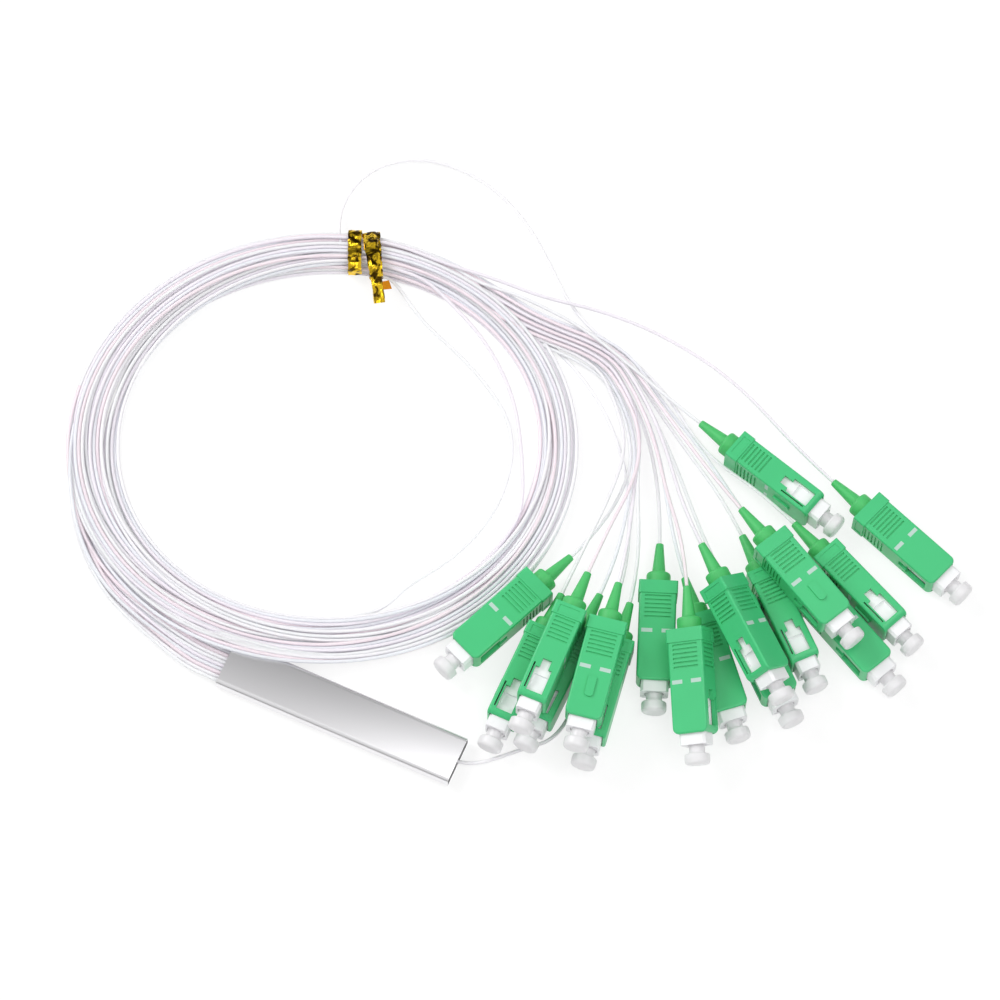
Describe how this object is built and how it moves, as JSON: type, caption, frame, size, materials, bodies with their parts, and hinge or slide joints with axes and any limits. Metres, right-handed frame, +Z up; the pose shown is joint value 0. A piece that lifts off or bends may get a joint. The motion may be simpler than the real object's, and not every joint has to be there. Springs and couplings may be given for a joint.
{
  "type": "plc fibre splitter",
  "caption": "Steel-tube planar fibre splitter with a tied coil of thin white fibre and green square push-pull connectors under white dust caps, fanned out on a surface.",
  "frame": {"origin": "bottom centre of the steel tube, on the surface that the part lies on", "axes": "+X along the steel tube towards its input end, +Y towards the middle of the coil, +Z up"},
  "size_m": [0.2168, 0.1474, 0.0213],
  "materials": {
    "tube_steel": "satin",
    "end_filling": "matt",
    "chip_silica": "clear",
    "array_glass": "clear",
    "tie_foil": "shiny foil",
    "fibre_tube": "translucent white",
    "grip_green": "satin moulded",
    "boot_green": "soft satin",
    "frame_white": "moulded",
    "cap_white": "translucent",
    "ferrule_ceramic": "polished",
    "spring_steel": "bright",
    "ring_metal": "nickel-like"
  },
  "bodies": {
    "splitter": {"steel_tube": "tube_steel", "input_end_plug": "end_filling", "output_end_plug": "end_filling", "plc_chip": "chip_silica", "input_fibre_array": "array_glass", "output_fibre_array": "array_glass", "twist_tie": "tie_foil", "fibre_coil": "fibre_tube", "lead_in_fibres": "fibre_tube", "input_fibre": "fibre_tube", "output_tails": "fibre_tube", "input_tail": "fibre_tube", "stray_turns": "fibre_tube", "plug_frames": "frame_white", "ferrules": "ferrule_ceramic", "springs": "spring_steel", "stop_rings": "ring_metal", "boots": "boot_green"},
    "grip_body_01": {"grip_01": "grip_green"},
    "cap_body_01": {"dust_cap_01": "cap_white"},
    "grip_body_02": {"grip_02": "grip_green"},
    "cap_body_02": {"dust_cap_02": "cap_white"},
    "grip_body_03": {"grip_03": "grip_green"},
    "cap_body_03": {"dust_cap_03": "cap_white"},
    "grip_body_04": {"grip_04": "grip_green"},
    "cap_body_04": {"dust_cap_04": "cap_white"},
    "grip_body_05": {"grip_05": "grip_green"},
    "cap_body_05": {"dust_cap_05": "cap_white"},
    "grip_body_06": {"grip_06": "grip_green"},
    "cap_body_06": {"dust_cap_06": "cap_white"},
    "grip_body_07": {"grip_07": "grip_green"},
    "cap_body_07": {"dust_cap_07": "cap_white"},
    "grip_body_08": {"grip_08": "grip_green"},
    "cap_body_08": {"dust_cap_08": "cap_white"},
    "grip_body_09": {"grip_09": "grip_green"},
    "cap_body_09": {"dust_cap_09": "cap_white"},
    "grip_body_10": {"grip_10": "grip_green"},
    "cap_body_10": {"dust_cap_10": "cap_white"},
    "grip_body_11": {"grip_11": "grip_green"},
    "cap_body_11": {"dust_cap_11": "cap_white"},
    "grip_body_12": {"grip_12": "grip_green"},
    "cap_body_12": {"dust_cap_12": "cap_white"},
    "grip_body_13": {"grip_13": "grip_green"},
    "cap_body_13": {"dust_cap_13": "cap_white"},
    "grip_body_14": {"grip_14": "grip_green"},
    "cap_body_14": {"dust_cap_14": "cap_white"},
    "grip_body_15": {"grip_15": "grip_green"},
    "cap_body_15": {"dust_cap_15": "cap_white"},
    "grip_body_16": {"grip_16": "grip_green"},
    "cap_body_16": {"dust_cap_16": "cap_white"},
    "grip_body_17": {"grip_17": "grip_green"},
    "cap_body_17": {"dust_cap_17": "cap_white"}
  },
  "joints": [
    {"name": "grip_slide_01", "type": "slide", "parent": "splitter", "child": "grip_body_01", "axis": [-0.3907, -0.9205, 0], "range_m": [-0.0016, 0]},
    {"name": "cap_slide_01", "type": "slide", "parent": "splitter", "child": "cap_body_01", "axis": [-0.3907, -0.9205, 0], "range_m": [0, 0.008]},
    {"name": "grip_slide_02", "type": "slide", "parent": "splitter", "child": "grip_body_02", "axis": [-0.007, -1, 0], "range_m": [-0.0016, 0]},
    {"name": "cap_slide_02", "type": "slide", "parent": "splitter", "child": "cap_body_02", "axis": [-0.007, -1, 0], "range_m": [0, 0.008]},
    {"name": "grip_slide_03", "type": "slide", "parent": "splitter", "child": "grip_body_03", "axis": [0.0227, -0.9997, 0], "range_m": [-0.0016, 0]},
    {"name": "cap_slide_03", "type": "slide", "parent": "splitter", "child": "cap_body_03", "axis": [0.0227, -0.9997, 0], "range_m": [0, 0.008]},
    {"name": "grip_slide_04", "type": "slide", "parent": "splitter", "child": "grip_body_04", "axis": [-0.0262, -0.9997, 0], "range_m": [-0.0016, 0]},
    {"name": "cap_slide_04", "type": "slide", "parent": "splitter", "child": "cap_body_04", "axis": [-0.0262, -0.9997, 0], "range_m": [0, 0.008]},
    {"name": "grip_slide_05", "type": "slide", "parent": "splitter", "child": "grip_body_05", "axis": [0.165, -0.9863, 0], "range_m": [-0.0016, 0]},
    {"name": "cap_slide_05", "type": "slide", "parent": "splitter", "child": "cap_body_05", "axis": [0.165, -0.9863, 0], "range_m": [0, 0.008]},
    {"name": "grip_slide_06", "type": "slide", "parent": "splitter", "child": "grip_body_06", "axis": [0.1392, -0.9903, 0], "range_m": [-0.0016, 0]},
    {"name": "cap_slide_06", "type": "slide", "parent": "splitter", "child": "cap_body_06", "axis": [0.1392, -0.9903, 0], "range_m": [0, 0.008]},
    {"name": "grip_slide_07", "type": "slide", "parent": "splitter", "child": "grip_body_07", "axis": [0.3616, -0.9323, 0], "range_m": [-0.0016, 0]},
    {"name": "cap_slide_07", "type": "slide", "parent": "splitter", "child": "cap_body_07", "axis": [0.3616, -0.9323, 0], "range_m": [0, 0.008]},
    {"name": "grip_slide_08", "type": "slide", "parent": "splitter", "child": "grip_body_08", "axis": [0.4472, -0.8777, -0.1719], "range_m": [-0.0016, 0]},
    {"name": "cap_slide_08", "type": "slide", "parent": "splitter", "child": "cap_body_08", "axis": [0.4472, -0.8777, -0.1719], "range_m": [0, 0.008]},
    {"name": "grip_slide_09", "type": "slide", "parent": "splitter", "child": "grip_body_09", "axis": [0.6534, -0.757, 0], "range_m": [-0.0016, 0]},
    {"name": "cap_slide_09", "type": "slide", "parent": "splitter", "child": "cap_body_09", "axis": [0.6534, -0.757, 0], "range_m": [0, 0.008]},
    {"name": "grip_slide_10", "type": "slide", "parent": "splitter", "child": "grip_body_10", "axis": [0.7682, -0.6355, -0.0767], "range_m": [-0.0016, 0]},
    {"name": "cap_slide_10", "type": "slide", "parent": "splitter", "child": "cap_body_10", "axis": [0.7682, -0.6355, -0.0767], "range_m": [0, 0.008]},
    {"name": "grip_slide_11", "type": "slide", "parent": "splitter", "child": "grip_body_11", "axis": [0.7408, -0.6717, 0], "range_m": [-0.0016, 0]},
    {"name": "cap_slide_11", "type": "slide", "parent": "splitter", "child": "cap_body_11", "axis": [0.7408, -0.6717, 0], "range_m": [0, 0.008]},
    {"name": "grip_slide_12", "type": "slide", "parent": "splitter", "child": "grip_body_12", "axis": [0.7396, -0.673, 0], "range_m": [-0.0016, 0]},
    {"name": "cap_slide_12", "type": "slide", "parent": "splitter", "child": "cap_body_12", "axis": [0.7396, -0.673, 0], "range_m": [0, 0.008]},
    {"name": "grip_slide_13", "type": "slide", "parent": "splitter", "child": "grip_body_13", "axis": [0.8867, -0.4616, -0.0262], "range_m": [-0.0016, 0]},
    {"name": "cap_slide_13", "type": "slide", "parent": "splitter", "child": "cap_body_13", "axis": [0.8867, -0.4616, -0.0262], "range_m": [0, 0.008]},
    {"name": "grip_slide_14", "type": "slide", "parent": "splitter", "child": "grip_body_14", "axis": [0.8934, -0.4493, 0], "range_m": [-0.0016, 0]},
    {"name": "cap_slide_14", "type": "slide", "parent": "splitter", "child": "cap_body_14", "axis": [0.8934, -0.4493, 0], "range_m": [0, 0.008]},
    {"name": "grip_slide_15", "type": "slide", "parent": "splitter", "child": "grip_body_15", "axis": [0.91, -0.4147, 0], "range_m": [-0.0016, 0]},
    {"name": "cap_slide_15", "type": "slide", "parent": "splitter", "child": "cap_body_15", "axis": [0.91, -0.4147, 0], "range_m": [0, 0.008]},
    {"name": "grip_slide_16", "type": "slide", "parent": "splitter", "child": "grip_body_16", "axis": [0.9397, -0.342, 0], "range_m": [-0.0016, 0]},
    {"name": "cap_slide_16", "type": "slide", "parent": "splitter", "child": "cap_body_16", "axis": [0.9397, -0.342, 0], "range_m": [0, 0.008]},
    {"name": "grip_slide_17", "type": "slide", "parent": "splitter", "child": "grip_body_17", "axis": [0.9613, -0.2756, 0], "range_m": [-0.0016, 0]},
    {"name": "cap_slide_17", "type": "slide", "parent": "splitter", "child": "cap_body_17", "axis": [0.9613, -0.2756, 0], "range_m": [0, 0.008]}
  ]
}
